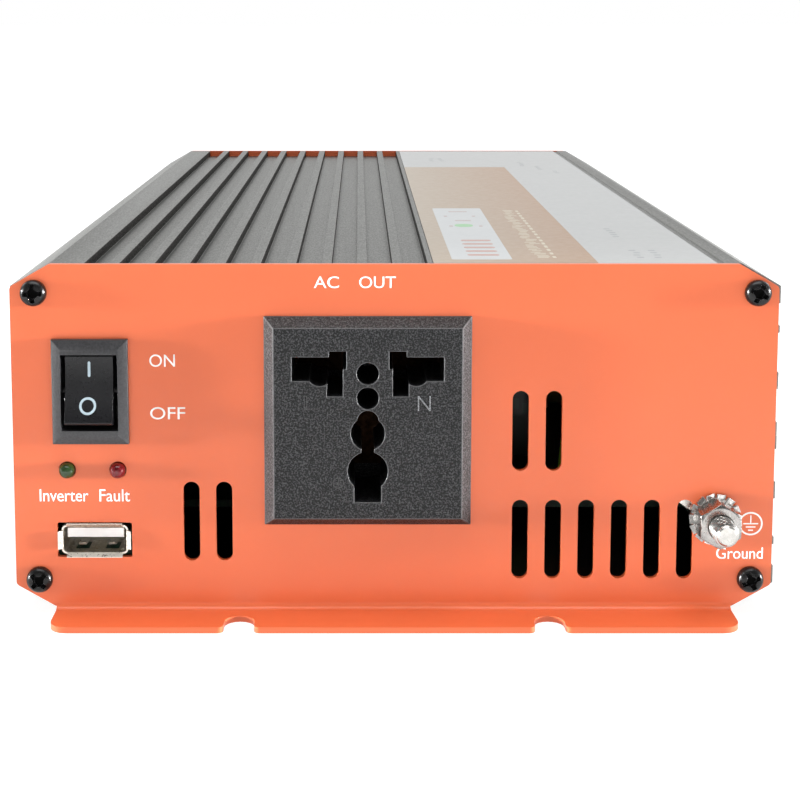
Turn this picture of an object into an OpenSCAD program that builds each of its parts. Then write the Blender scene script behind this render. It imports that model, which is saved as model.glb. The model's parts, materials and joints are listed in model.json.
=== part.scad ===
// Power inverter: ribbed aluminium case, painted steel end panels, universal AC outlet,
// rocker switch, USB port and ground stud in front, fan and two DC terminals behind.
// The origin is on the floor under the middle of the object. The front panel faces -Y.

/* [Case] */
// Width across the end panels
case_w = 151; // [150:0.5:156]
// Length between the outer faces of the end panels
case_l = 270; // [260:1:320]
// Height of the top of the case above the floor
case_h = 71; // [70.8:0.1:73]
// Height of the lower edge of the case above the floor
case_z0 = 1.7; // [1.5:0.1:2]
// Width of a sloping corner face, seen from the front
corner_w = 7.8; // [7:0.1:8.5]
// Height of a sloping corner face, seen from the front
corner_h = 4.5; // [4:0.1:5]
// Thickness of the sheet steel
sheet = 1.2; // [1:0.1:1.4]

/* [Cooling ribs] */
// Number of grooves beside the label
groove_n = 10; // [6:1:10]
// Distance from one groove to the next
groove_pitch = 6.95; // [6.5:0.05:7]
// Width of a groove
groove_w = 4.95; // [3:0.05:5.5]
// Depth of a groove
groove_d = 1.9; // [1:0.1:2]

/* [Foot flanges] */
// Distance that a flange stands out from its panel
foot_reach = 10.1; // [9.5:0.1:12]
// Width of a flange
foot_w = 135; // [120:0.5:135.4]
// Distance between the middles of the two screw notches
notch_gap = 60.8; // [50:0.2:80]
// Width and depth of a screw notch
notch = 6; // [4.5:0.1:6.5]

/* [Front panel] */
// Middle of the rocker switch, across
switch_x = -60.15; // [-61:0.05:-56]
// Middle of the rocker switch, up
switch_z = 45.7; // [45:0.1:50]
// Swing of the rocker from ON to OFF, in degrees
rocker_swing = 22; // [16:1:24]
// Middle of the AC outlet, across
socket_x = -5.45; // [-10:0.05:-5]
// Middle of the AC outlet, up
socket_z = 39.7; // [38:0.1:41]
// Width of the AC outlet's face
socket_w = 41; // [41:0.5:43]
// Height of the AC outlet's face
socket_h = 42.1; // [42:0.1:44]
// Middle of the USB port, across
usb_x = -59.9; // [-61:0.1:-57]
// Middle of the USB port, up
usb_z = 15.4; // [15:0.1:16.5]
// Ground stud, across
stud_x = 63.7; // [63:0.1:66]
// Ground stud, up
stud_z = 19.8; // [19:0.1:22]
// Distance that the ground stud stands out from the front panel
stud_reach = 11.4; // [11:0.1:16]

/* [Rear panel] */
// Distance of each DC terminal from the middle
terminal_x = 52; // [50:0.5:54]
// Distance that the DC terminals stand out from the rear panel
terminal_reach = 27; // [26:0.5:32]
// Outer side of the square fan
fan_w = 60; // [60:0.1:60.5]
// Number of fan blades
blade_n = 7; // [5:1:9]

/* [Hidden] */
$fn = 64;

// Places along the case
front_y = stud_reach - (case_l + stud_reach + terminal_reach) / 2;
rear_y = front_y + case_l;
half_w = case_w / 2;
mid_z = (case_h + case_z0) / 2;

// Extruded halves of the case
side_proud = 0.4;
panel_shift = -0.25;
side_groove_d = 1.6;
wall_x = 72.6;
ceiling_z = case_h - 3.8;
side_grooves = [[2.75, 9.45], [12.85, 20.75], [22.25, 26.65]];
groove_x0 = -61.2;
pad_x = [7.4, 64.8];
pad_d = 0.25;
rail_h = 1.4;
rail_d = 2.5;
board_t = 1.6;
board_z = 12.7;
board_top = board_z + board_t;
tongue_t = 1.5;
tongue_l = 2;
slack = 0.1;

// Case screws, in channels that run along the corners of the extrusion
screw_x = 71;
screw_dz = 29;
screw_r = 1.5;
channel_r = screw_r + 0.05;
boss_r = 3.1;
head_r = 2.6;
head_h = 2;

// Sheet steel
bend_r = 1.5;
bend_z = sheet + bend_r;
foot_corner_r = 3.5;
lip_r = 1.2;
vent_w = 3.25;
vent_h = 16.2;
vents = concat([for (x = [-40.5, -34]) [x, 19.2]], [for (x = [24.8, 31.4]) [x, 37.6]],
    [for (i = [0 : 5]) [24.9 + 6.58 * i, 15.5]]);

// Rocker switch
bezel_w = 15;
bezel_h = 21;
bezel_proud = 2;
bezel_bevel = 1.85;
rocker_w = 9.4;
rocker_window = [11.2, 15.2];
rocker_pin_l = 12.2;
rocker_face = [-2.9, 6.8];
rocker_dish = 1;
pivot_y = 1;
pivot_r = 0.8;
housing_d = 10;

// AC outlet
socket_proud = 3;
socket_d = 20;
socket_bevel = 1.95;
aperture_d = 14;

// Indicator lamps
led_z = 29.7;
led_x = [-65.1, -55.05];
led_r = 1.55;
led_board_y = 9;

// USB port
usb_w = 12.6;
usb_h = 5.2;
usb_t = 0.35;
usb_d = 14;
usb_r = 0.7;
usb_hole = [14.9, 7.1];
usb_flare = [14.3, 6.7];
usb_tab_x = 3;

// Ground stud
stud_r = 2.5;
stud_nut_w = 8;
stud_nut_h = 4.7;
stud_washer_t = 1.2;
tooth_n = 14;
stud_head_h = 3.6;
stud_end_r = 2.3;
stud_end_l = 4.4;
stud_chamfer = 0.8;
lug_t = 0.8;
lug_turn = 145;
lug_barrel = [8.6, 13];
lug_barrel_y = 1.7;
fit = 0.05;

// Fan
fan_d = 15;
fan_bore_r = 28.8;
fan_hole = 25;
fan_hole_r = 2.15;
fan_screw_r = 2;
hub_r = 14;
hub_y = [2.6, 12.6];
shaft_r = 1.5;
guard_wire_r = 0.8;
guard_radii = [7, 14, 21, 28];
guard_eye_t = 1.7;

// DC terminals
terminal_z = mid_z;
post_r = 4;
post_hole_r = 7;
base_r = 11;
base_t = 4;
collar_t = 4;
post_washer_t = 1.2;
bush_t = 3;
inner_washer_t = 0.8;
busbar_t = 2;
inner_stack = sheet + bush_t + inner_washer_t + busbar_t;
knob_r = 9.6;
knob_l = 15;

// Circuit boards
main_y = [front_y + 30, rear_y - 26];
transformer_x = [-42, 0, 42];
transformer_y = rear_y - 100;
left_row = [for (i = [0 : 3]) front_y + 62 + 18 * i];
right_row = [for (i = [0 : 5]) rear_y - 128 + 14 * i];
clamp_t = 2;
clamp_z = 29.5;
clamp_rows = [[-1, left_row[0] - 12, left_row[len(left_row) - 1] + 12],
    [1, right_row[0] - 12, right_row[len(right_row) - 1] + 12]];
clamp_places = [for (row = clamp_rows, y = [row[1] + 3, row[2] - 3]) [row[0], y]];
transistor_t = 4.5;
strip_t = 0.3;
fuse_x = [for (i = [0 : 4]) -24 + 12 * i];
fuse_y = rear_y - 46;
choke_place = [46, rear_y - 142];
choke_r = [8, 14];
choke_h = 10;
control_y = front_y + 66;
spacer_places = [[-64, front_y + 22], [-48, front_y + 22]];

// ---------- Helpers ----------

// Rounds each corner of a polygon, by one radius or by one radius per corner
function fillet(points, radii, n = 5) = [
    for (i = [0 : len(points) - 1])
        let (p = points[i],
            u = unit(points[(i + len(points) - 1) % len(points)] - p),
            v = unit(points[(i + 1) % len(points)] - p),
            half = acos(u * v) / 2,
            r = is_list(radii) ? radii[i] : radii,
            c = p + unit(u + v) * r / sin(half),
            a = p + u * r / tan(half) - c,
            turn = cross(v, u) > 0 ? 180 - 2 * half : 2 * half - 180)
        for (k = r > 0 ? [0 : n] : [0])
            c + [a.x * cos(turn * k / n) - a.y * sin(turn * k / n),
                a.x * sin(turn * k / n) + a.y * cos(turn * k / n)]
];
function unit(v) = v / norm(v);
function box_points(w, h) = [[-w / 2, -h / 2], [w / 2, -h / 2], [w / 2, h / 2], [-w / 2, h / 2]];

// Points along a smooth curve from a to d, leaving towards b and arriving from c
function curve(a, b, c, d, n = 12) = [
    for (i = [0 : n]) let (t = i / n, s = 1 - t)
        s * s * s * a + 3 * s * s * t * b + 3 * s * t * t * c + t * t * t * d
];

// Places its children at the outer face of a panel, with the case behind it in +y
module at_front() { translate([0, front_y, 0]) children(); }
module at_rear() { translate([0, rear_y, 0]) rotate([0, 0, 180]) children(); }

// Turns local +z to point into the case, or out of it
module inward() { rotate([-90, 0, 0]) children(); }
module outward() { rotate([90, 0, 0]) children(); }

// Stands a shape drawn in x and z upright, from y = from to y = to
module upright(from, to) { translate([0, to, 0]) outward() linear_extrude(to - from) children(); }

// Extrudes a shape drawn in y and z along x, both ways from the middle
module across(w) { rotate([90, 0, 90]) linear_extrude(w, center = true) children(); }

// Box from one corner to the opposite one
module block(low, high) { translate(low) cube(high - low); }

module rounded_box(w, h, r) { polygon(fillet(box_points(w, h), r)); }

module slot(w, h) {
    square([w, h - w], center = true);
    for (s = [-1, 1]) translate([0, s * (h - w) / 2]) circle(d = w);
}

// Plate that stands proud of y = 0 towards -y, with sloping edges
module bevelled_plate(w, h, proud, bevel, edge) {
    slope = function (half) [[0, -half], [-edge, -half], [-proud, bevel - half],
        [-proud, half - bevel], [-edge, half], [0, half]];
    intersection() {
        across(w) polygon(slope(h / 2));
        translate([0, 0, -h / 2]) linear_extrude(h) polygon([for (p = slope(w / 2)) [p.y, p.x]]);
    }
}

// Round insulated wire swept along a path
module wire(path, r, sides = 8) {
    last = len(path) - 1;
    rings = [for (i = [0 : last])
        let (d = unit(path[min(i + 1, last)] - path[max(i - 1, 0)]),
            a = unit(cross(d, [0, 1, 1])), b = cross(d, a))
        for (k = [0 : sides - 1]) path[i] + r * (cos(360 * k / sides) * a + sin(360 * k / sides) * b)];
    walls = [for (i = [0 : last - 1], k = [0 : sides - 1])
        let (j = (k + 1) % sides)
        [i * sides + k, (i + 1) * sides + k, (i + 1) * sides + j, i * sides + j]];
    ends = [[for (k = [0 : sides - 1]) k], [for (k = [sides - 1 : -1 : 0]) last * sides + k]];
    polyhedron(rings, concat(walls, ends), convexity = 4);
}

// Pan-head screw with a cross recess; its head is at z > 0
module pan_screw(shank_r, shank_l, r, h, turn = 0) {
    difference() {
        rotate_extrude() polygon(concat([[0, -shank_l], [shank_r * 0.6, -shank_l],
            [shank_r, -shank_l + shank_r], [shank_r, 0], [r, 0], [r, h * 0.3]],
            [for (a = [15 : 15 : 90]) [r * 0.3 + r * 0.7 * cos(a), h * 0.3 + h * 0.7 * sin(a)]], [[0, h]]));
        rotate(turn) translate([0, 0, h]) {
            for (a = [0, 90]) rotate(a) cube([r * 1.45, r * 0.38, h * 1.1], center = true);
            cylinder(r = r * 0.42, h = h * 1.4, center = true, $fn = 24);
        }
    }
}

// Hexagonal nut or collar with chamfered corners, from z = 0 up
module hex(flat_w, h, bore_r = 0) {
    corner_r = flat_w / sqrt(3);
    cut = corner_r - flat_w / 2 * 0.96;
    difference() {
        intersection() {
            cylinder(r = corner_r, h = h, $fn = 6);
            rotate_extrude() polygon([[0, 0], [corner_r - cut, 0], [corner_r, cut * 0.58],
                [corner_r, h - cut * 0.58], [corner_r - cut, h], [0, h]]);
        }
        if (bore_r > 0) translate([0, 0, -1]) cylinder(r = bore_r, h = h + 2);
    }
}

// ---------- Case ----------

// The eight-sided outline of the case, seen from the front
function case_outline(half) = [[half, case_z0 + corner_h], [half, case_h - corner_h],
    [half - corner_w, case_h], [corner_w - half, case_h], [-half, case_h - corner_h],
    [-half, case_z0 + corner_h], [corner_w - half, case_z0], [half - corner_w, case_z0]];

// Upper half of the case; turned over, the same extrusion is the lower half
module half_profile() {
    split = mid_z;
    difference() {
        union() {
            difference() {
                intersection() {
                    polygon(case_outline(half_w + side_proud));
                    translate([-case_w, split]) square([2 * case_w, case_h]);
                }
                polygon([[-wall_x, split - 1], [-wall_x, case_h - 7], [-half_w + 8.5, ceiling_z],
                    [half_w - 8.5, ceiling_z], [wall_x, case_h - 7], [wall_x, split - 1]]);
            }
            for (s = [-1, 1]) {
                translate([s * screw_x, split + screw_dz]) circle(r = boss_r);
                for (z = [board_z - slack - rail_h, board_top + slack])
                    translate([s * (wall_x - rail_d / 2 + 0.25), 2 * mid_z - z - rail_h / 2])
                        square([rail_d + 0.5, rail_h], center = true);
            }
            translate([wall_x, split - tongue_l]) square([tongue_t, tongue_l + 1]);
        }
        for (i = [0 : groove_n - 1])
            translate([groove_x0 + groove_pitch * i, case_h - groove_d]) square([groove_w, groove_d + 1]);
        translate([pad_x[0], case_h - pad_d]) square([pad_x[1] - pad_x[0], 1]);
        for (s = [-1, 1]) {
            translate([s * screw_x, split + screw_dz]) circle(r = channel_r);
            for (g = side_grooves)
                translate([s * (half_w + side_proud), split + (g[0] + g[1]) / 2])
                    square([2 * side_groove_d, g[1] - g[0]], center = true);
        }
        translate([-wall_x - tongue_t - slack, split - 1])
            square([tongue_t + 2 * slack, tongue_l + 1 + slack]);
    }
}

module top_shell() {
    color("darkgray") at_front() upright(sheet, case_l - sheet) half_profile();
}

// Holes in the wall for the screws that clamp the transistors
module clamp_holes() {
    for (p = clamp_places) translate([p[0] * (wall_x - 1), p[1], clamp_z])
        rotate([0, 90 * p[0], 0]) cylinder(r = channel_r, h = 2.5);
}

module bottom_shell() {
    color("darkgray") difference() {
        translate([0, 0, 2 * mid_z]) rotate([0, 180, 0])
            at_front() upright(sheet, case_l - sheet) half_profile();
        clamp_holes();
        for (p = spacer_places) translate([p[0], p[1], 0]) cylinder(r = channel_r, h = 8);
    }
}

module top_label() {
    t = 0.2;
    color("gainsboro") block([pad_x[0] + slack, front_y + sheet + 0.5, case_h - pad_d],
        [pad_x[1] - 1.4, rear_y - sheet - 0.5, case_h - pad_d + t]);
}

// ---------- End panels ----------

module screw_holes() {
    for (x = [-screw_x, screw_x], z = [-screw_dz, screw_dz])
        translate([x, mid_z + z]) circle(r = screw_r + 0.2);
}

// Flange bent outwards, with two open notches
module foot() {
    front = -foot_reach;
    notch_points = function (x) [[x - notch / 2, front], [x - notch / 2, front + notch],
        [x + notch / 2, front + notch], [x + notch / 2, front]];
    notch_radii = [lip_r, notch * 0.49, notch * 0.49, lip_r];
    plan = concat([[-foot_w / 2, front]], notch_points(-notch_gap / 2), notch_points(notch_gap / 2),
        [[foot_w / 2, front], [foot_w / 2, sheet], [-foot_w / 2, sheet]]);
    radii = concat([foot_corner_r], notch_radii, notch_radii, [foot_corner_r, 0, 0]);
    intersection() {
        across(foot_w) {
            translate([-foot_reach - 1, 0]) square([foot_reach + 1 - bend_r, sheet]);
            intersection() {
                translate([-bend_r, bend_z]) difference() {
                    circle(r = bend_r + sheet);
                    circle(r = bend_r);
                }
                translate([-bend_r, 0]) square([bend_r + sheet, bend_z]);
            }
        }
        translate([0, 0, -1]) linear_extrude(bend_z + 2) polygon(fillet(plan, radii));
    }
}

// End panel with its flange; its children are the cut-outs, drawn in x and z
module panel(shift) {
    upright(0, sheet) difference() {
        translate([shift, 0]) polygon(fillet(case_outline(half_w), 1, 3));
        translate([shift - foot_w / 2, 0]) square([foot_w, bend_z]);
        screw_holes();
        children();
    }
    translate([shift, 0, 0]) foot();
}

module front_panel() {
    color("coral") at_front() panel(panel_shift) {
        translate([switch_x, switch_z]) square([13, 19.2], center = true);
        translate([socket_x, socket_z]) square([37, 38], center = true);
        for (x = led_x) translate([x, led_z]) circle(r = led_r + 0.15);
        translate([usb_x, usb_z]) rounded_box(usb_hole.x, usb_hole.y, 0.4);
        translate([stud_x, stud_z]) circle(r = stud_r + 0.1);
        for (v = vents) translate(v) slot(vent_w, vent_h);
    }
}

module rear_panel() {
    color("coral") at_rear() panel(-panel_shift) {
        translate([0, mid_z]) {
            circle(r = fan_bore_r - 0.6);
            for (x = [-fan_hole, fan_hole], z = [-fan_hole, fan_hole])
                translate([x, z]) circle(r = fan_hole_r);
        }
        for (x = [-terminal_x, terminal_x]) translate([x, terminal_z]) circle(r = post_hole_r + 0.2);
    }
}

// Four screws into the corner channels, each with its cross turned its own way
module case_screws(turns) {
    for (i = [0 : 3])
        translate([screw_x * (i % 2 == 0 ? -1 : 1), 0, mid_z + screw_dz * (i < 2 ? 1 : -1)])
            outward() pan_screw(screw_r, 12, head_r, head_h, turns[i]);
}
module front_screws() { color("dimgray") at_front() case_screws([2, 65, 45, 23]); }
module rear_screws() { color("dimgray") at_rear() case_screws([15, 65, 30, 5]); }

// ---------- Rocker switch ----------

module switch_housing() {
    color("black") at_front() translate([switch_x, 0, switch_z]) difference() {
        union() {
            bevelled_plate(bezel_w, bezel_h, bezel_proud, bezel_bevel, bezel_proud - 0.9);
            upright(0, housing_d) square([12.8, 19], center = true);
            for (s = [-1, 1]) translate([0, 2.4, s * 9.6]) cube([6, 1.6, 1.2], center = true);
        }
        upright(-bezel_proud - 1, housing_d - 1.2) square(rocker_window, center = true);
        translate([-10, pivot_y, 0]) rotate([0, 90, 0]) cylinder(r = pivot_r + fit, h = 20);
    }
}

// The rocker is drawn level and then tilted to ON, its dished face with the upper end pressed in
module switch_rocker() {
    end = rocker_face.y;
    dish_r = (end * end + rocker_dish * rocker_dish) / 2 / rocker_dish;
    outline = [[rocker_face.x, end], [rocker_face.x, -end], [0.6, -end], [4.6, -3], [4.6, 3], [0.6, end]];
    color("black") at_front() translate([switch_x, pivot_y, switch_z])
        rotate([-rocker_swing / 2, 0, 0]) {
            translate([0, -pivot_y, 0]) difference() {
                across(rocker_w) polygon(fillet(outline, [0.4, 1, 1, 1, 1, 1]));
                translate([-rocker_w, rocker_face.x + rocker_dish - dish_r, 0]) rotate([0, 90, 0])
                    cylinder(r = dish_r, h = 2 * rocker_w, $fn = 180);
            }
            translate([-rocker_pin_l / 2, 0, 0]) rotate([0, 90, 0]) cylinder(r = pivot_r, h = rocker_pin_l);
        }
}

module switch_terminals() {
    color("gold") at_front() for (z = [0, 6.5])
        translate([switch_x, 0, switch_z - z]) difference() {
            block([-2.4, housing_d, -0.4], [2.4, housing_d + 8, 0.4]);
            translate([0, housing_d + 5.5, -1]) cylinder(r = 0.8, h = 2);
        }
}

// ---------- AC outlet ----------

// Openings for flat, round and three-pin plugs
module plug_apertures() {
    for (s = [-1, 1]) scale([s, 1]) {
        translate([4.9, 8.65]) square([10, 4.7]);
        translate([4.2, 11]) square([3.4, 3.5]);
        translate([4.9, 5.6]) square([3.1, 5]);
        translate([9.5, 10.1]) circle(r = 2.45);
    }
    for (z = [5.2, 10.1]) translate([0, z]) circle(r = 2.15);
    translate([0, 0.6]) circle(r = 2.1);
    translate([0, -1.9]) circle(r = 3.35);
    translate([-1.25, -9.5]) square([2.5, 8]);
    translate([0, -9.5]) circle(r = 3.95);
    translate([-2.65, -15.7]) square([5.3, 6]);
}

module socket_plate() {
    color("dimgray") at_front() translate([socket_x, 0, socket_z]) difference() {
        union() {
            bevelled_plate(socket_w, socket_h, socket_proud, socket_bevel, 0.4);
            upright(0, aperture_d) square([36.8, 37.8], center = true);
        }
        upright(-socket_proud - 1, aperture_d + 1) plug_apertures();
    }
}

module socket_rear_cover() {
    color("black") at_front() translate([socket_x, 0, socket_z]) difference() {
        upright(aperture_d, socket_d + 2) square([36.8, 37.8], center = true);
        upright(aperture_d - 1, socket_d) square([33.8, 34.8], center = true);
        for (x = [-9.9, 0, 9.9]) translate([x, socket_d - 1, x == 0 ? -8 : 8])
            inward() cylinder(r = 1.5, h = 4);
    }
}

// Sprung brass strips behind the apertures
module socket_contacts() {
    color("gold") at_front() translate([socket_x, 0, socket_z])
        for (x = [-9.9, 0, 9.9]) translate([x, 0, x == 0 ? -8 : 10]) {
            w = x == 0 ? 8 : 11;
            h = x == 0 ? 12 : 8;
            block([-w / 2, socket_d - 1, -h / 2], [w / 2, socket_d, h / 2]);
            for (s = [-1, 1]) translate([s * (w - 1) / 2, aperture_d + 2.5, 0])
                cube([1, 4, h], center = true);
            for (s = [-1, 1]) translate([s * (w - 1) / 2, aperture_d + 4.5, 0])
                cube([1, 2, h * 0.6], center = true);
        }
}

// ---------- Lamps and USB port ----------

module led(x) {
    at_front() translate([x, 0, led_z]) outward() {
        rotate_extrude() polygon(concat([[0, -4.4], [led_r + 0.35, -4.4], [led_r + 0.35, -3.4],
            [led_r, -3.4]], [for (a = [0 : 10 : 80]) [led_r * cos(a), 0.45 + led_r * sin(a)]],
            [[0, 0.45 + led_r * sin(80)]]));
        for (s = [-1, 1])
            translate([s * 0.9 - 0.25, -0.25, -led_board_y]) cube([0.5, 0.5, led_board_y - 4.2]);
    }
}
module led_green() { color("limegreen") led(led_x[0]); }
module led_red() { color("red") led(led_x[1]); }

// Upright board behind the lamps; its leg stands on the USB board
module led_board() {
    color("darkgreen") at_front() upright(led_board_y, led_board_y + board_t) {
        translate([-70.5, 25.5]) square([24.5, 8.5]);
        translate([-51, usb_board_top()]) square([5, 15]);
    }
}

function usb_board_top() = usb_z - usb_h / 2 - usb_t;

module usb_shell() {
    slope = 0.8;
    corners = 2 * usb_r + 0.1;
    color("silver") at_front() translate([usb_x, 0, usb_z]) {
        difference() {
            union() {
                upright(0.2, usb_d) rounded_box(usb_w + 2 * usb_t, usb_h + 2 * usb_t, usb_r + usb_t);
                for (z = [-1, 1])
                    usb_lip(usb_w - corners, z * usb_h / 2, z * (usb_flare.y - usb_h) / 2 / slope, slope);
                for (x = [-1, 1]) rotate([0, x * 90, 0])
                    usb_lip(usb_h - corners, usb_w / 2, (usb_flare.x - usb_w) / 2 / slope, slope);
            }
            upright(-2, usb_d - usb_t) rounded_box(usb_w, usb_h, usb_r);
            for (x = [-usb_tab_x, usb_tab_x]) translate([x, 5, -usb_h / 2]) cube([2.8, 5, 2], center = true);
        }
        for (x = [-usb_tab_x, usb_tab_x]) translate([x, 0, -usb_h / 2]) across(1.6)
            polygon([[8.2, -0.21], [8.2, -0.05], [3.4, 0.9], [3.2, 0.6]]);
    }
}

// One flared lip of the port: a strip w wide that leans out from height z
module usb_lip(w, z, lean, depth) {
    t = z < 0 ? -usb_t : usb_t;
    out = z + lean * depth;
    across(w) polygon([[depth, z], [0, z], [-depth + 0.2, out], [-depth + 0.2, out + t * 0.4],
        [0, z + t * 1.6], [depth, z + t]]);
}

module usb_tongue() {
    color("white") at_front() translate([usb_x, 0, usb_z]) {
        block([-5.6, 1.2, 0.2], [5.6, 12, 2.04]);
        upright(12, usb_d - usb_t) rounded_box(usb_w, usb_h, usb_r);
    }
}

module usb_contacts() {
    color("gold") at_front() translate([usb_x, 0, usb_z])
        for (i = [0 : 3]) block([-3.5 + 2.33 * i - 0.5, 2, 0], [-3.5 + 2.33 * i + 0.5, 11.5, 0.2]);
}

module usb_board() {
    color("darkgreen") at_front() difference() {
        block([-69.8, 2, usb_board_top() - board_t], [-45, 28, usb_board_top()]);
        for (p = spacer_places) translate([p[0], p[1] - front_y, 0]) cylinder(r = 1.6, h = 20);
    }
}

// Threaded spacers between the case floor and the USB board
module board_spacers() {
    floor_z = 2 * mid_z - ceiling_z;
    color("ivory") for (p = spacer_places) translate([p[0], p[1], 0]) {
        translate([0, 0, floor_z]) cylinder(r = 2.5, h = usb_board_top() - board_t - floor_z, $fn = 6);
        translate([0, 0, floor_z - 2]) cylinder(r = screw_r, h = 3);
        translate([0, 0, floor_z + 1]) cylinder(r = screw_r, h = usb_board_top() - floor_z + 0.5);
    }
}

// ---------- Ground stud ----------

module ground_stud() {
    seat = -sheet - lug_t;
    end_z = stud_reach - stud_chamfer;
    color("silver") at_front() translate([stud_x, 0, stud_z]) outward() {
        rotate_extrude() polygon([[0, seat - 0.1], [stud_r, seat - 0.1], [stud_r, end_z - stud_end_l],
            [stud_end_r, end_z - stud_end_l], [stud_end_r, end_z], [stud_end_r - stud_chamfer, stud_reach],
            [0, stud_reach]]);
        translate([0, 0, seat - stud_head_h]) hex(stud_nut_w, stud_head_h);
    }
}

// Turns local +x to run up and away from the stud, along the ground lug
module along_lug() {
    at_front() translate([stud_x, sheet, stud_z]) rotate([0, -lug_turn, 0]) children();
}

// Eyelet crimped on the ground wire, held under the head of the stud
module ground_ring_terminal() {
    color("silver") along_lug() {
        difference() {
            union() {
                inward() cylinder(r = 4.6, h = lug_t);
                block([3, 0, -1.6], [lug_barrel[0] + 0.4, lug_t, 1.6]);
            }
            translate([0, -1, 0]) inward() cylinder(r = stud_r + 0.1, h = 3);
        }
        translate([lug_barrel[0], lug_barrel_y, 0]) rotate([0, 90, 0])
            cylinder(r = 1.6, h = lug_barrel[1] - lug_barrel[0]);
    }
}

// Toothed lock washer
module ground_washer() {
    color("silver") at_front() translate([stud_x, -0.02, stud_z]) outward() difference() {
        union() {
            translate([0, 0, 0.2]) cylinder(r = 4.4, h = 0.8);
            for (i = [0 : tooth_n - 1]) rotate(360 / tooth_n * i) translate([4.5, 0, stud_washer_t / 2])
                rotate([21, 0, 0]) cube([1.4, 1.8, 0.55], center = true);
        }
        translate([0, 0, -1]) cylinder(r = stud_r + fit, h = 4);
    }
}

module ground_nut() {
    color("silver") at_front() translate([stud_x, -stud_washer_t - 0.1, stud_z]) outward()
        rotate(30) hex(stud_nut_w, stud_nut_h, stud_r + fit);
}

// ---------- Fan ----------

module fan_frame() {
    color("black") at_rear() translate([0, sheet, mid_z]) inward() {
        difference() {
            union() {
                for (z = [0, fan_d - 3.2])
                    translate([0, 0, z]) linear_extrude(3.2) rounded_box(fan_w, fan_w, 3);
                cylinder(r = fan_w / 2, h = fan_d);
            }
            translate([0, 0, -1]) cylinder(r = fan_bore_r, h = fan_d + 2);
            for (x = [-fan_hole, fan_hole], y = [-fan_hole, fan_hole])
                translate([x, y, -1]) cylinder(r = fan_hole_r, h = fan_d + 2);
        }
        difference() {
            union() {
                translate([0, 0, fan_d - 2]) cylinder(r = hub_r, h = 2);
                translate([0, 0, 5]) cylinder(r = 3, h = fan_d - 5);
                for (a = [45 : 90 : 315]) rotate(a) translate([fan_bore_r / 2 + 5, 0, fan_d - 1])
                    cube([fan_bore_r - 9, 4, 2], center = true);
            }
            translate([0, 0, 4]) cylinder(r = shaft_r + fit, h = fan_d);
        }
    }
}

// Coils and iron around the bearing tube
module fan_stator() {
    color("chocolate") at_rear() translate([0, sheet + 5.5, mid_z]) inward() difference() {
        union() {
            for (i = [0 : 3]) rotate(90 * i) translate([6.5, 0, 3]) cube([8, 6, 6], center = true);
            cylinder(r = 5, h = 6);
        }
        translate([0, 0, -1]) cylinder(r = 3, h = 8);
    }
}

module fan_rotor() {
    blade_r = fan_bore_r - 1;
    color("black") at_rear() translate([0, 0, mid_z]) inward() {
        difference() {
            translate([0, 0, hub_y[0]]) cylinder(r = hub_r, h = hub_y[1] - hub_y[0]);
            translate([0, 0, hub_y[0] + 1.6]) cylinder(r = hub_r - 1.6, h = fan_d);
        }
        translate([0, 0, hub_y[0] + 0.5]) cylinder(r = shaft_r, h = hub_y[1] - hub_y[0]);
        intersection() {
            difference() {
                translate([0, 0, hub_y[0]]) cylinder(r = blade_r, h = hub_y[1] - hub_y[0]);
                cylinder(r = hub_r - 0.8, h = fan_d);
            }
            for (i = [0 : blade_n - 1]) rotate(360 / blade_n * i) translate([blade_r / 2 + 6, 0, 7.6])
                rotate([40, 0, 0]) cube([blade_r, 14, 1.3], center = true);
        }
    }
}

// Round wire guard outside the rear panel
module fan_guard() {
    ring_z = 2.15;
    color("silver") at_rear() translate([0, 0, mid_z]) outward() {
        for (r = guard_radii) translate([0, 0, ring_z]) rotate_extrude() translate([r, 0])
            circle(r = guard_wire_r, $fn = 24);
        for (a = [45 : 90 : 315]) rotate(a) difference() {
            union() {
                translate([guard_radii[0], 0, guard_eye_t / 2]) rotate([0, 90, 0])
                    cylinder(r = guard_wire_r, h = fan_hole * sqrt(2) - guard_radii[0] - 2.6, $fn = 24);
                translate([fan_hole * sqrt(2), 0, 0]) cylinder(r = 3.8, h = guard_eye_t);
            }
            translate([fan_hole * sqrt(2), 0, -1]) cylinder(r = fan_hole_r, h = 4);
        }
    }
}

module fan_screws() {
    color("silver") at_rear() for (x = [-fan_hole, fan_hole], z = [-fan_hole, fan_hole])
        translate([x, -guard_eye_t, mid_z + z]) outward() pan_screw(fan_screw_r, 22, 3.6, 2.2, 35 + x);
}

module fan_nuts() {
    color("silver") at_rear() for (x = [-fan_hole, fan_hole], z = [-fan_hole, fan_hole])
        translate([x, sheet + fan_d, mid_z + z]) inward() hex(7, 3, fan_screw_r + fit);
}

// ---------- DC terminals ----------

module at_terminal(side) { at_rear() translate([side * terminal_x, 0, terminal_z]) outward() children(); }

// Insulating bush: an outer disc and a neck through the panel
module terminal_base() {
    difference() {
        union() {
            rotate_extrude() polygon([[0, 0], [base_r, 0], [base_r, base_t - 0.8], [base_r - 0.8, base_t],
                [0, base_t]]);
            translate([0, 0, -sheet - 1]) cylinder(r = post_hole_r, h = sheet + 2);
            translate([0, 0, -sheet - bush_t]) cylinder(r = base_r - 1, h = bush_t);
        }
        translate([0, 0, -6]) cylinder(r = post_r + 0.1, h = 20);
    }
}
module terminal_base_red() { color("firebrick") at_terminal(-1) terminal_base(); }
module terminal_base_black() { color("black") at_terminal(1) terminal_base(); }

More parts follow.
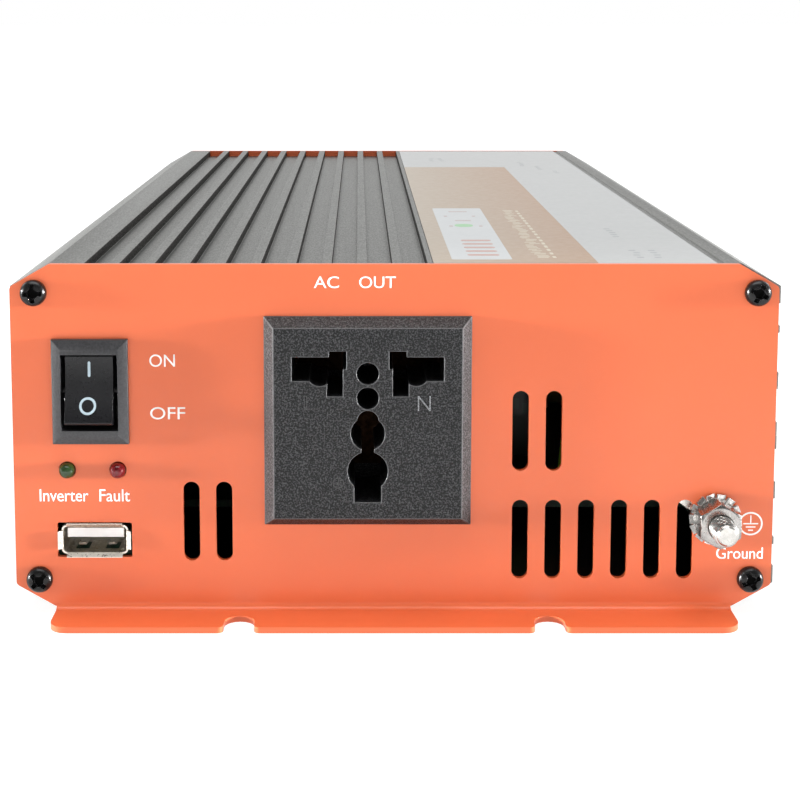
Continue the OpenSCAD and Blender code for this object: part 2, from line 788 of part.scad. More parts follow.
// Threaded posts with a hexagonal collar that the cable lugs lie on
module terminal_studs() {
    color("goldenrod") for (s = [-1, 1]) at_terminal(s) {
        rotate_extrude() polygon([[0, -14], [post_r - 0.6, -14], [post_r, -13.4],
            [post_r, terminal_reach - 1], [post_r - 1, terminal_reach], [0, terminal_reach]]);
        translate([0, 0, base_t]) hex(14, collar_t, post_r - 0.5);
    }
}

module terminal_nuts() {
    color("silver") for (s = [-1, 1]) at_terminal(s) {
        translate([0, 0, -sheet - bush_t - inner_washer_t]) difference() {
            cylinder(r = 8, h = inner_washer_t);
            translate([0, 0, -1]) cylinder(r = post_r + 0.1, h = 3);
        }
        translate([0, 0, -inner_stack - 5]) hex(13, 5, post_r + fit);
    }
}

module terminal_washer() {
    translate([0, 0, base_t + collar_t + 0.02]) difference() {
        cylinder(r = 7.8, h = post_washer_t);
        translate([0, 0, -1]) cylinder(r = post_r + fit, h = 4);
    }
}
module terminal_washer_red() { color("goldenrod") at_terminal(-1) terminal_washer(); }
module terminal_washer_black() { color("goldenrod") at_terminal(1) terminal_washer(); }

// Knob with finger grooves, turned by hand
module terminal_knob() {
    translate([0, 0, base_t + collar_t + post_washer_t + 0.1]) difference() {
        rotate_extrude() polygon([[0, 0], [7.2, 0], [7.2, 2.4], [knob_r, 3.2], [knob_r, knob_l - 1.2],
            [knob_r - 1.2, knob_l], [0, knob_l]]);
        for (i = [0 : 11]) rotate(30 * i) translate([knob_r + 0.9, 0, 2])
            cylinder(r = 1.7, h = knob_l, $fn = 24);
        translate([0, 0, -1]) cylinder(r = post_r + fit, h = knob_l + 2);
        translate([0, 0, knob_l - 1]) cylinder(r = post_r + 1.5, h = 2);
    }
}
module terminal_knob_red() { color("firebrick") at_terminal(-1) terminal_knob(); }
module terminal_knob_black() { color("black") at_terminal(1) terminal_knob(); }

// Copper straps from the posts down to the main board
module dc_busbars() {
    color("peru") for (s = [-1, 1]) translate([s * terminal_x, rear_y - inner_stack, 0]) difference() {
        union() {
            block([-6.5, 0, board_top], [6.5, busbar_t, terminal_z + 8]);
            block([-6.5, -32, board_top], [6.5, busbar_t, board_top + busbar_t]);
        }
        translate([0, -1, terminal_z]) inward() cylinder(r = post_r + 0.1, h = busbar_t + 2);
    }
}

// ---------- Boards and what stands on them ----------

module main_board() {
    color("darkgreen") block([-wall_x + 0.4, main_y[0], board_z], [wall_x - 0.4, main_y[1], board_top]);
}

module on_board(x, y) { translate([x, y, board_top]) children(); }

module transformer_bobbins() {
    color("ivory") for (x = transformer_x)
        on_board(x, transformer_y) linear_extrude(3) rounded_box(32, 34, 2);
}

// Two E-shaped ferrite halves, joined around the winding
module transformer_cores() {
    color("dimgray") for (x = transformer_x) on_board(x, transformer_y) translate([0, 0, 3])
        translate([0, 7, 0]) outward() linear_extrude(14) difference() {
            translate([-20, 0]) square([40, 34]);
            for (s = [-1, 1]) translate([s * 10, 17]) square([8, 22], center = true);
        }
}

module transformer_windings() {
    color("gold") for (x = transformer_x) on_board(x, transformer_y) translate([0, 0, 9.2])
        linear_extrude(21.6) difference() {
            rounded_box(27.6, 28, 4);
            square([12.1, 14.1], center = true);
        }
}

// Upright can with a crimped neck and a scored top
module capacitor(r, h) {
    difference() {
        rotate_extrude() polygon(concat([[0, 0], [r - 0.4, 0], [r, 0.6], [r, 2], [r - 0.7, 2.7], [r, 3.4],
            [r, h - 0.8], [r - 0.8, h], [0, h]]));
        translate([0, 0, h]) for (a = [0, 90]) rotate(a) cube([r * 1.2, 0.5, 0.6], center = true);
    }
}
module input_capacitors() {
    color("midnightblue") for (i = [0 : 5]) on_board(-45 + 18 * i, rear_y - 66) capacitor(8, 28);
}
module output_capacitors() {
    color("midnightblue") for (x = [-22, 10]) on_board(x, rear_y - 142) capacitor(12.5, 42);
}

// Flat-backed transistor against a side wall, its legs in the board
module power_transistor() {
    x = wall_x - strip_t;
    block([x - transistor_t, -5, 22], [x, 5, 37]);
    difference() {
        block([x - 1.3, -5, 37], [x, 5, 43]);
        translate([x - 2, 0, 40]) rotate([0, 90, 0]) cylinder(r = 1.8, h = 3);
    }
    for (y = [-2.5, 0, 2.5]) block([x - 3.3, y - 0.4, board_top], [x - 2.8, y + 0.4, 22]);
}
module power_transistors() {
    color("black") {
        for (y = left_row) translate([0, y, 0]) scale([-1, 1, 1]) power_transistor();
        for (y = right_row) translate([0, y, 0]) power_transistor();
    }
}

module insulating_strips() {
    color("lightgray") for (row = clamp_rows)
        translate([row[0] * (wall_x - strip_t / 2), (row[1] + row[2]) / 2, clamp_z + 3.5])
            cube([strip_t, row[2] - row[1] - 14, 21], center = true);
}

module clamp_bars() {
    x = wall_x - strip_t - transistor_t - clamp_t / 2;
    color("silver") difference() {
        for (row = clamp_rows) translate([row[0] * x, (row[1] + row[2]) / 2, clamp_z])
            cube([clamp_t, row[2] - row[1], 7], center = true);
        for (p = clamp_places) translate([p[0] * 60, p[1], clamp_z])
            rotate([0, 90 * p[0], 0]) cylinder(r = screw_r + 0.1, h = 10);
    }
}

module clamp_screws() {
    head_x = wall_x - strip_t - transistor_t - clamp_t;
    color("silver") for (p = clamp_places) translate([p[0] * head_x, p[1], clamp_z])
        rotate([0, -90 * p[0], 0]) pan_screw(screw_r, 7.8, 2.8, 2);
}

// Blade fuses: a coloured body with two flat legs
module fuses() {
    color("limegreen") for (x = fuse_x) on_board(x, fuse_y) {
        block([-2.6, -9.5, 8], [2.6, 9.5, 19]);
        for (y = [-7, 7]) block([-0.4, y - 2, 3], [0.4, y + 2, 8]);
    }
}
module fuse_holders() {
    color("black") for (x = fuse_x) on_board(x, fuse_y) difference() {
        block([-3.5, -10.5, 0], [3.5, 10.5, 7.8]);
        for (y = [-7, 7]) block([-0.5, y - 2.1, 2.8], [0.5, y + 2.1, 9]);
    }
}

module choke_core() {
    color("khaki") on_board(choke_place.x, choke_place.y) translate([0, 0, 1.2]) difference() {
        cylinder(r = choke_r[1], h = choke_h);
        translate([0, 0, -1]) cylinder(r = choke_r[0], h = choke_h + 2);
    }
}

// Turns of thick copper wire around the ring
module choke_winding() {
    t = 1.1;
    middle = (choke_r[0] + choke_r[1]) / 2;
    inside = [choke_r[1] - choke_r[0] + 0.8, 3, choke_h + 0.1];
    color("peru") on_board(choke_place.x, choke_place.y) translate([0, 0, 1.2 + choke_h / 2])
        for (i = [0 : 15]) rotate(360 / 16 * (i + 0.5)) translate([middle, 0, 0]) difference() {
            cube([inside.x + 2 * t, 1.6, inside.z + 2 * t], center = true);
            cube(inside, center = true);
        }
}

module control_board() {
    color("darkgreen") block([-34, control_y, board_top], [34, control_y + board_t, board_top + 36]);
}
module control_chips() {
    color("black") for (x = [-22, 0, 22]) block([x - 8, control_y - 3.4, board_top + 18 + x / 4],
        [x + 8, control_y, board_top + 25 + x / 4]);
}
module buzzer() {
    color("black") on_board(44, front_y + 50) difference() {
        cylinder(r = 6, h = 8);
        translate([0, 0, 6]) cylinder(r = 1, h = 3);
    }
}

// ---------- Wires ----------

module socket_wires() {
    color("brown") at_front() for (x = [-9.9, 9.9]) translate([socket_x + x, 0, 0])
        wire(curve([0, socket_d + 2, socket_z + 8], [0, socket_d + 16, socket_z + 8],
            [0, socket_d + 24, board_top + 18], [0, socket_d + 24, board_top + 0.2]), 1.3);
}

module switch_wires() {
    color("orangered") at_front() for (z = [0, 6.5]) translate([switch_x + 6 - z, 0, 0])
        wire(curve([z - 6, housing_d + 8.1, switch_z - z], [z - 6, housing_d + 17, switch_z - z],
            [0, housing_d + 26, board_top + 15], [0, housing_d + 26, board_top + 0.2]), 0.9);
}

module ground_wire() {
    out = [cos(lug_turn), 0, sin(lug_turn)];
    start = [stud_x, sheet + lug_barrel_y, stud_z] + (lug_barrel[1] + 0.1) * out;
    color("yellowgreen") at_front()
        wire(curve(start, start + 14 * out, [38, 36, board_top + 30], [38, 36, board_top + 0.2]), 1.2);
}

top_shell();
bottom_shell();
front_panel();
rear_panel();
front_screws();
rear_screws();
top_label();
switch_housing();
switch_rocker();
switch_terminals();
socket_plate();
socket_rear_cover();
socket_contacts();
led_green();
led_red();
led_board();
usb_shell();
usb_tongue();
usb_contacts();
usb_board();
board_spacers();
ground_stud();
ground_ring_terminal();
ground_washer();
ground_nut();
fan_frame();
fan_rotor();
fan_stator();
fan_guard();
fan_screws();
fan_nuts();
terminal_base_red();
terminal_base_black();
terminal_studs();
terminal_nuts();
terminal_washer_red();
terminal_washer_black();
terminal_knob_red();
terminal_knob_black();
main_board();
transformer_bobbins();
transformer_cores();
transformer_windings();
input_capacitors();
output_capacitors();
power_transistors();
insulating_strips();
clamp_bars();
clamp_screws();
fuses();
fuse_holders();
choke_core();
choke_winding();
control_board();
control_chips();
buzzer();
dc_busbars();
socket_wires();
switch_wires();
ground_wire();
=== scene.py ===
"""The looks of a power inverter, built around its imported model. All lengths are in metres."""
import json
import math
import random
import bmesh
import bpy
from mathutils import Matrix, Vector
from mathutils.bvhtree import BVHTree

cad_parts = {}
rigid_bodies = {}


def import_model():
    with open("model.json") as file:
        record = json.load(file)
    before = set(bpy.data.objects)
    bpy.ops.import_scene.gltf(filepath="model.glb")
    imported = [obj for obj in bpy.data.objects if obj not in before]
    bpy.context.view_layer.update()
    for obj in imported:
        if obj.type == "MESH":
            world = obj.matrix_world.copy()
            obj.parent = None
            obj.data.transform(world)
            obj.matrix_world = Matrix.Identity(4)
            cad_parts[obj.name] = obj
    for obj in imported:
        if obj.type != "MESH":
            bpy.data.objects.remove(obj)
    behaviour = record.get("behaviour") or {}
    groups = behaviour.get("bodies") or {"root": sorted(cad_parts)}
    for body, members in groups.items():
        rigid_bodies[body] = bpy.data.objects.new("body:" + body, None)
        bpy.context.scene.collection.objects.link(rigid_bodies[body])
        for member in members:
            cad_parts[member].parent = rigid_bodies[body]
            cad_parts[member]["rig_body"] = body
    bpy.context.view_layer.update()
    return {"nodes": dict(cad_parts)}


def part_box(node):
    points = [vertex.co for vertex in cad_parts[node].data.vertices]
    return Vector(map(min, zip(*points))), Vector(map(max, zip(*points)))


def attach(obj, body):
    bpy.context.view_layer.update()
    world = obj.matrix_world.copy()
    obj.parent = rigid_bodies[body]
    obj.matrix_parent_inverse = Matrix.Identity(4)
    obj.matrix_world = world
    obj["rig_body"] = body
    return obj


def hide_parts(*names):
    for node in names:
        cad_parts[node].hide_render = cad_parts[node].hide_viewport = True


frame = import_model()

MM = 0.001
SHEET = 1.2 * MM  # thickness of the end panels
INK = 0.03 * MM  # how far printed marks stand above and reach into their surface
WELD = 1e-7  # vertices nearer than this are one


# ---------- Places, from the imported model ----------

def middle(node):
    low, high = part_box(node)
    return (low + high) / 2


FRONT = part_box("top_shell")[0].y - SHEET
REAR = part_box("top_shell")[1].y + SHEET
SWITCH = middle("switch_housing")
SOCKET = middle("socket_plate")
STUD = middle("ground_nut")
LABEL_LOW, LABEL_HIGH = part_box("top_label")
GROOVE_FLOOR = LABEL_HIGH.z - 1.9 * MM
GROOVES_END = 62 * MM
UPRIGHT = 0.9  # share of a normal across the case that makes a face a groove's side


# ---------- Camera, light and floor ----------

CAMERA_PLACE = Vector((-7.3 * MM, FRONT - 306.8 * MM, 118.6 * MM))
CAMERA_PITCH = math.radians(6.5)
CAMERA_LENS = 71.36
CAMERA_SHIFT = (0.052, -0.25)
WORLD_BEHIND = 0.25  # strength of the surroundings behind the camera, 1 being the white backdrop
WORLD_TOP = 0.62  # the same overhead
FLOOR_GLOW = 0.76  # lifts the floor to the photo's plain white
SIDE_BEAM = 16  # degrees, so that the long sides behind the panel get little of the side lamps
TARGET = 30 * MM  # height that the lamps round the object aim at
LAMPS = (
    # name, place, target, width and height in metres, power in watts, beam in degrees
    ("side_light", (-0.85, FRONT - 0.11, 0.08), (0, FRONT - 0.11, TARGET), (0.08, 0.4), 3.2, SIDE_BEAM),
    ("back_side_light", (-0.7, REAR + 0.45, 0.3), (0, REAR, TARGET), (0.5, 0.5), 4, 180),
    ("side_light", (0.85, FRONT - 0.11, 0.08), (0, FRONT - 0.11, TARGET), (0.08, 0.4), 3.2, SIDE_BEAM),
    ("back_side_light", (0.7, REAR + 0.45, 0.3), (0, REAR, TARGET), (0.5, 0.5), 4, 180),
    ("top_light", (0, FRONT - 0.1, 1.1), (0, FRONT, 0), (1.0, 0.6), 8.5, 180),
    ("front_light", (0, FRONT - 1.1, 0.35), (0, FRONT, TARGET), (1.4, 0.5), 1.3, 180),
)


def make_camera():
    camera = bpy.data.objects.new("camera", bpy.data.cameras.new("camera"))
    camera.location = CAMERA_PLACE
    camera.rotation_euler = (math.pi / 2 - CAMERA_PITCH, 0, 0)
    camera.data.lens = CAMERA_LENS
    camera.data.shift_x, camera.data.shift_y = CAMERA_SHIFT
    camera.data.clip_start = 0.01
    bpy.context.scene.collection.objects.link(camera)
    bpy.context.scene.camera = camera


def area_light(name, place, target, size, power, beam):
    light = bpy.data.lights.new(name, "AREA")
    light.shape = "RECTANGLE"
    light.size, light.size_y = size
    light.energy = power
    light.spread = math.radians(beam)
    lamp = bpy.data.objects.new(name, light)
    lamp.location = place
    lamp.rotation_euler = (Vector(target) - Vector(place)).to_track_quat("-Z", "Y").to_euler()
    bpy.context.scene.collection.objects.link(lamp)


def map_range(nodes, start, end, low, high):
    node = nodes.new("ShaderNodeMapRange")
    for key, value in (("From Min", start), ("From Max", end), ("To Min", low), ("To Max", high)):
        node.inputs[key].default_value = value
    return node


def world_light():
    """White round the horizon behind the object, dimmer overhead and behind the camera."""
    world = bpy.data.worlds.new("studio")
    world.use_nodes = True
    nodes, links = world.node_tree.nodes, world.node_tree.links
    place = nodes.new("ShaderNodeTexCoord")
    split = nodes.new("ShaderNodeSeparateXYZ")
    links.new(place.outputs["Generated"], split.inputs["Vector"])
    factors = []
    for axis, *limits in (("Y", -0.75, 0.1, WORLD_BEHIND, 1), ("Z", 0.15, 0.75, 1, WORLD_TOP)):
        span = map_range(nodes, *limits)
        span.interpolation_type = "SMOOTHSTEP"
        links.new(split.outputs[axis], span.inputs["Value"])
        factors.append(span.outputs["Result"])
    product = nodes.new("ShaderNodeMath")
    product.operation = "MULTIPLY"
    for i in (0, 1):
        links.new(factors[i], product.inputs[i])
    links.new(product.outputs["Value"], nodes["Background"].inputs["Strength"])
    nodes["Background"].inputs["Color"].default_value = (1, 1, 1, 1)
    bpy.context.scene.world = world


def make_studio():
    world_light()
    bpy.context.scene.view_settings.view_transform = "Standard"
    for lamp in LAMPS:
        area_light(*lamp)
    bm = bmesh.new()
    bmesh.ops.create_grid(bm, x_segments=1, y_segments=1, size=30)
    floor = new_piece("floor", bm)
    floor.data.materials.append(floor_material())


# ---------- Materials ----------

def new_material(name, colour, roughness, metallic=0.0, **values):
    """Plain shader with its constants set on its own sockets; the functions below add to it."""
    m = bpy.data.materials.new(name)
    m.use_nodes = True
    shader = m.node_tree.nodes["Principled BSDF"]
    shader.inputs["Base Color"].default_value = (*colour, 1)
    shader.inputs["Roughness"].default_value = roughness
    shader.inputs["Metallic"].default_value = metallic
    for key, value in values.items():
        shader.inputs[key.replace("_", " ")].default_value = value
    return m


def shader_of(m):
    return m.node_tree.nodes["Principled BSDF"]


def link(m, out, into):
    m.node_tree.links.new(out, into)


def noise(m, size, stretch=(1, 1, 1), detail=3.0, roughness=0.55):
    """Noise whose grains are about size metres across, stretched along the axes."""
    nodes = m.node_tree.nodes
    place = nodes.new("ShaderNodeTexCoord")
    mapping = nodes.new("ShaderNodeMapping")
    mapping.inputs["Scale"].default_value = [1 / (size * s) for s in stretch]
    texture = nodes.new("ShaderNodeTexNoise")
    texture.inputs["Scale"].default_value = 1
    texture.inputs["Detail"].default_value = detail
    texture.inputs["Roughness"].default_value = roughness
    link(m, place.outputs["Object"], mapping.inputs["Vector"])
    link(m, mapping.outputs["Vector"], texture.inputs["Vector"])
    return texture.outputs["Fac"]


def spread(m, factor, socket, low, high, start=0.3, end=0.7):
    """Maps a noise factor onto a range of values of one shader socket."""
    node = map_range(m.node_tree.nodes, start, end, low, high)
    link(m, factor, node.inputs["Value"])
    link(m, node.outputs["Result"], shader_of(m).inputs[socket])


def tint(m, factor, dark, light, start=0.3, end=0.7):
    """Colour that drifts between two shades with a noise factor."""
    ramp = m.node_tree.nodes.new("ShaderNodeValToRGB")
    ramp.color_ramp.elements[0].position = start
    ramp.color_ramp.elements[1].position = end
    ramp.color_ramp.elements[0].color = (*dark, 1)
    ramp.color_ramp.elements[1].color = (*light, 1)
    link(m, factor, ramp.inputs["Fac"])
    link(m, ramp.outputs["Color"], shader_of(m).inputs["Base Color"])


def bump(m, factor, height, strength=1.0):
    """Fine relief of the given height, on top of any relief the material has already."""
    node = m.node_tree.nodes.new("ShaderNodeBump")
    node.inputs["Distance"].default_value = height
    node.inputs["Strength"].default_value = strength
    shader = shader_of(m)
    if shader.inputs["Normal"].is_linked:
        link(m, shader.inputs["Normal"].links[0].from_socket, node.inputs["Normal"])
    link(m, factor, node.inputs["Height"])
    link(m, node.outputs["Normal"], shader.inputs["Normal"])


def shade(colour, factor):
    return tuple(min(1.0, c * factor) for c in colour)


def floor_material():
    m = new_material("floor_table", (0.4, 0.4, 0.4), 0.9, Emission_Color=(1, 1, 1, 1),
                     Emission_Strength=FLOOR_GLOW)
    tint(m, noise(m, 0.08), (0.395, 0.395, 0.395), (0.405, 0.405, 0.405))
    return m


def painted_steel(name="orange_paint", colour=(0.665, 0.130, 0.044), roughness=0.34):
    """Stoved paint: hardly any drift in colour, a faint orange peel."""
    m = new_material(name, colour, roughness, Specular_IOR_Level=0.42, Coat_Weight=0.1,
                     Coat_Roughness=0.12)
    tint(m, noise(m, 25 * MM), shade(colour, 0.975), shade(colour, 1.02))
    spread(m, noise(m, 3 * MM), "Roughness", roughness * 0.92, roughness * 1.08)
    bump(m, noise(m, 1.1 * MM, detail=0.5), 0.004 * MM, 0.5)
    return m


def anodised(name="anodised_aluminium", colour=(0.163, 0.165, 0.155), roughness=0.36):
    """Drawn aluminium: fine lines run along the extrusion."""
    m = new_material(name, colour, roughness, 1.0)
    grain = noise(m, 0.28 * MM, (1, 5, 1), detail=3)
    tint(m, noise(m, 0.5 * MM, (1, 90, 1), detail=5), shade(colour, 0.93), shade(colour, 1.07))
    spread(m, grain, "Roughness", roughness * 0.85, roughness * 1.3)
    bump(m, grain, 0.008 * MM, 0.5)
    return m


def moulded(name, colour, roughness, grain, height, contrast=0.0, **values):
    """Plastic with a moulded grain, which also shows as a speckle of the given contrast."""
    m = new_material(name, colour, roughness, **values)
    texture = noise(m, grain, detail=2)
    if contrast:
        tint(m, texture, shade(colour, 1 - contrast), shade(colour, 1 + 1.6 * contrast), 0.36, 0.66)
    else:
        tint(m, noise(m, 9 * MM), shade(colour, 0.9), shade(colour, 1.12))
    spread(m, texture, "Roughness", roughness * 0.85, min(1, roughness * 1.2))
    bump(m, texture, height)
    return m


def speckled(name, dark, light, grain):
    """Spark-eroded plastic: a fine, deep grain that breaks the light up."""
    m = new_material(name, dark, 0.42, Specular_IOR_Level=0.28)
    fine = noise(m, grain, detail=1.5, roughness=0.7)
    tint(m, fine, dark, light, 0.47, 0.66)
    spread(m, fine, "Roughness", 0.5, 0.34)
    bump(m, fine, grain * 0.5, 0.8)
    return m


def plated(name, colour, roughness):
    """Bright metal with faint handling marks."""
    m = new_material(name, colour, roughness, 1.0)
    marks = noise(m, 0.5 * MM, detail=6)
    tint(m, noise(m, 1.6 * MM, detail=5), shade(colour, 0.82), shade(colour, 1.06))
    spread(m, marks, "Roughness", roughness * 0.7, roughness * 1.5)
    bump(m, marks, 0.004 * MM)
    return m


def lens(name, colour):
    """Tinted, slightly cloudy lamp."""
    m = new_material(name, colour, 0.12, Transmission_Weight=0.3, IOR=1.5)
    tint(m, noise(m, 0.9 * MM), shade(colour, 0.7), shade(colour, 1.3))
    return m


def circuit_board():
    """Solder mask over copper tracks."""
    m = new_material("circuit_board", (0.008, 0.05, 0.022), 0.4, Coat_Weight=0.15)
    nodes = m.node_tree.nodes
    place = nodes.new("ShaderNodeTexCoord")
    tracks = nodes.new("ShaderNodeTexVoronoi")
    tracks.distance = "CHEBYCHEV"
    tracks.inputs["Scale"].default_value = 1 / (4 * MM)
    link(m, place.outputs["Object"], tracks.inputs["Vector"])
    tint(m, tracks.outputs["Distance"], (0.008, 0.055, 0.026), (0.005, 0.034, 0.017), 0.3, 0.34)
    bump(m, noise(m, 0.6 * MM), 0.01 * MM)
    return m


def coil_of(name, colour, turn):
    """Windings or tape in turns along z."""
    m = new_material(name, colour, 0.35, Coat_Weight=0.4)
    nodes = m.node_tree.nodes
    place = nodes.new("ShaderNodeTexCoord")
    wave = nodes.new("ShaderNodeTexWave")
    wave.bands_direction = "Z"
    wave.inputs["Scale"].default_value = 1 / (turn * 3.2)
    wave.inputs["Distortion"].default_value = 0.6
    link(m, place.outputs["Object"], wave.inputs["Vector"])
    tint(m, wave.outputs["Fac"], shade(colour, 0.7), shade(colour, 1.05), 0.1, 0.9)
    bump(m, wave.outputs["Fac"], 0.1 * MM)
    return m


def printed_film(name, colour):
    """Satin film of the label, with a slight waviness."""
    m = new_material(name, colour, 0.36, Coat_Weight=0.25, Coat_Roughness=0.2)
    tint(m, noise(m, 6 * MM), shade(colour, 0.975), shade(colour, 1.015))
    spread(m, noise(m, 1.5 * MM), "Roughness", 0.34, 0.39)
    bump(m, noise(m, 9 * MM, (1, 3, 1), detail=1), 0.01 * MM, 0.4)
    return m


def sunset_film():
    """Printed blend across the label, pale at its left edge and orange at its right."""
    m = printed_film("label_orange", (0.8, 0.4, 0.2))
    nodes = m.node_tree.nodes
    place = nodes.new("ShaderNodeTexCoord")
    split = nodes.new("ShaderNodeSeparateXYZ")
    across = map_range(nodes, LABEL_LOW.x, LABEL_LOW.x + ORANGE_WIDTH, 0, 1)
    link(m, place.outputs["Object"], split.inputs["Vector"])
    link(m, split.outputs["X"], across.inputs["Value"])
    tint(m, across.outputs["Result"], (0.3, 0.235, 0.163), (0.27, 0.145, 0.06), 0.0, 1.0)
    return m


# ---------- Making pieces ----------

def new_piece(name, bm):
    mesh = bpy.data.meshes.new(name)
    bm.to_mesh(mesh)
    bm.free()
    piece = bpy.data.objects.new(name, mesh)
    bpy.context.scene.collection.objects.link(piece)
    return piece


def smooth(piece, angle=35):
    """Smooth shading that keeps edges sharper than angle."""
    bm = bmesh.new()
    bm.from_mesh(piece.data)
    for face in bm.faces:
        face.smooth = True
    for edge in bm.edges:
        sharp = len(edge.link_faces) != 2 or edge.calc_face_angle(0) > math.radians(angle)
        edge.smooth = not sharp
    bm.to_mesh(piece.data)
    bm.free()


def finish(piece, material, body="root"):
    """Gives a new piece its material and the body it moves with."""
    piece.data.materials.clear()
    piece.data.materials.append(material)
    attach(piece, body)


BEVELLED_FROM = 28  # degrees between two faces whose edge is rounded
FLAT = 0.5  # degrees between faces that are merged into one


def soften(node, material, width, segments=2):
    """Stands in for a node with the same shape, its hard edges rounded off."""
    source = frame["nodes"][node]
    bm = bmesh.new()
    bm.from_mesh(source.data)
    bmesh.ops.remove_doubles(bm, verts=bm.verts, dist=WELD)
    bmesh.ops.dissolve_limit(bm, angle_limit=math.radians(FLAT), verts=bm.verts, edges=bm.edges)
    piece = new_piece(node + "_finished", bm)
    smooth(piece)
    bevel = piece.modifiers.new("edges", "BEVEL")
    bevel.width = width
    bevel.segments = segments
    bevel.limit_method = "ANGLE"
    bevel.angle_limit = math.radians(BEVELLED_FROM)
    bevel.harden_normals = True
    bevel.use_clamp_overlap = True
    finish(piece, material, source["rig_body"])
    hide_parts(node)
    return piece


def highlight_edges(piece, material):
    """Gives the rounded edges that soften made their own, lighter material: a painted highlight along
    the edges.
    """
    piece.data.materials.append(material)
    piece.modifiers["edges"].material = len(piece.data.materials) - 1


def dress(material, *nodes):
    """Gives the nodes' own objects a better material."""
    for node in nodes:
        for place in frame["nodes"][node].material_slots:
            place.material = material


THIN, BOLD = 0.001, 0.003  # how much the letters' outlines are widened


def lettering(name, words, left, right, low, high, material, weight=THIN, face=FRONT, line=0.0):
    """Words laid on the face, fitted between left and right, low and high.

    They are flat, or with line only an outline in wire of that radius.
    """
    curve = bpy.data.curves.new(name, "FONT")
    curve.body = words
    curve.resolution_u = 6
    curve.offset = weight
    if line:
        curve.fill_mode = "NONE"
        curve.bevel_depth = line
        curve.resolution_u = 1
    shape = bpy.data.objects.new(name, curve)
    bpy.context.scene.collection.objects.link(shape)
    bpy.context.view_layer.update()
    mesh = bpy.data.meshes.new_from_object(shape.evaluated_get(bpy.context.evaluated_depsgraph_get()))
    bpy.data.objects.remove(shape)
    xs = [v.co.x for v in mesh.vertices]
    ys = [v.co.y for v in mesh.vertices]
    wide, tall = (right - left) / (max(xs) - min(xs)), (high - low) / (max(ys) - min(ys))
    for v in mesh.vertices:
        depth = -v.co.z * tall if line else -INK
        v.co = Vector((left + (v.co.x - min(xs)) * wide, face + depth,
                       low + (v.co.y - min(ys)) * tall))
    bm = bmesh.new()
    bm.from_mesh(mesh)
    bmesh.ops.remove_doubles(bm, verts=bm.verts, dist=WELD)
    if not line:
        back = bmesh.ops.extrude_face_region(bm, geom=bm.faces[:])["geom"]
        moved = [g for g in back if isinstance(g, bmesh.types.BMVert)]
        bmesh.ops.translate(bm, vec=(0, INK * 0.9, 0), verts=moved)
    bmesh.ops.recalc_face_normals(bm, faces=bm.faces)
    bpy.data.meshes.remove(mesh)
    finish(new_piece(name, bm), material)


def rounded(x0, y0, x1, y1, radius, parts=5):
    """Outline of a rectangle with rounded corners, anticlockwise."""
    corners = ((x1 - radius, y0 + radius, -90), (x1 - radius, y1 - radius, 0),
               (x0 + radius, y1 - radius, 90), (x0 + radius, y0 + radius, 180))
    return [(x + radius * math.cos(math.radians(a + 90 * k / parts)),
             y + radius * math.sin(math.radians(a + 90 * k / parts)))
            for x, y, a in corners for k in range(parts + 1)]


def steps(start, end, count):
    return [start + (end - start) * k / count for k in range(count + 1)]


def circle(x, z, radius, count=48):
    turns = [2 * math.pi * k / count for k in range(count)]
    return [(x + radius * math.cos(t), z + radius * math.sin(t)) for t in turns]


def front_of(node):
    """Function that gives the y of the node's front surface at (x, z)."""
    mesh = frame["nodes"][node].data
    tree = BVHTree.FromPolygons([v.co for v in mesh.vertices], [f.vertices for f in mesh.polygons])

    def level(x, z):
        return tree.ray_cast(Vector((x, FRONT - 0.1, z)), Vector((0, 1, 0)))[0].y
    return level


def strip(bm, left, right, level, closed=False):
    """Adds a thin band between two rows of (x, z) points, laid on the surface that level gives."""
    rows = []
    for a, b in zip(left, right):
        rows.append([bm.verts.new((p[0], level(*p) + y, p[1]))
                     for p, y in ((a, -INK), (b, -INK), (b, INK), (a, INK))])
    count = len(rows) if closed else len(rows) - 1
    for i in range(count):
        one, two = rows[i], rows[(i + 1) % len(rows)]
        for k in range(4):
            bm.faces.new((one[k], one[(k + 1) % 4], two[(k + 1) % 4], two[k]))
    if not closed:
        bm.faces.new(rows[0])
        bm.faces.new(rows[-1][::-1])
    bmesh.ops.recalc_face_normals(bm, faces=bm.faces)


# ---------- The label ----------

ORANGE_WIDTH = 32.5 * MM
ORANGE_LENGTH = 0.765  # share of the label's length
LAYER = 0.008 * MM  # how much higher each layer of print stands
BAR_PITCH = 5.3  # mm from one red bar to the next


def label_patch(bm, x0, y0, x1, y1, radius, layer):
    """Printed patch: x from the label's left edge, y from its front end, both in metres."""
    points = rounded(LABEL_LOW.x + x0, LABEL_LOW.y + y0, LABEL_LOW.x + x1, LABEL_LOW.y + y1, radius)
    top = LABEL_HIGH.z + layer * LAYER
    # Under side and top side
    rings = [[bm.verts.new((p[0], p[1], z)) for p in points] for z in (LABEL_HIGH.z - INK, top)]
    bm.faces.new(rings[0][::-1])
    bm.faces.new(rings[1])
    for i in range(len(points)):
        j = (i + 1) % len(points)
        bm.faces.new((rings[0][i], rings[0][j], rings[1][j], rings[1][i]))


def patches(name, rows, material, layer):
    """One piece of printed patches; each row is x0, y0, x1, y1 and the corner radius, in mm."""
    bm = bmesh.new()
    for row in rows:
        label_patch(bm, *[v * MM for v in row], layer=layer)
    finish(new_piece(name, bm), material)


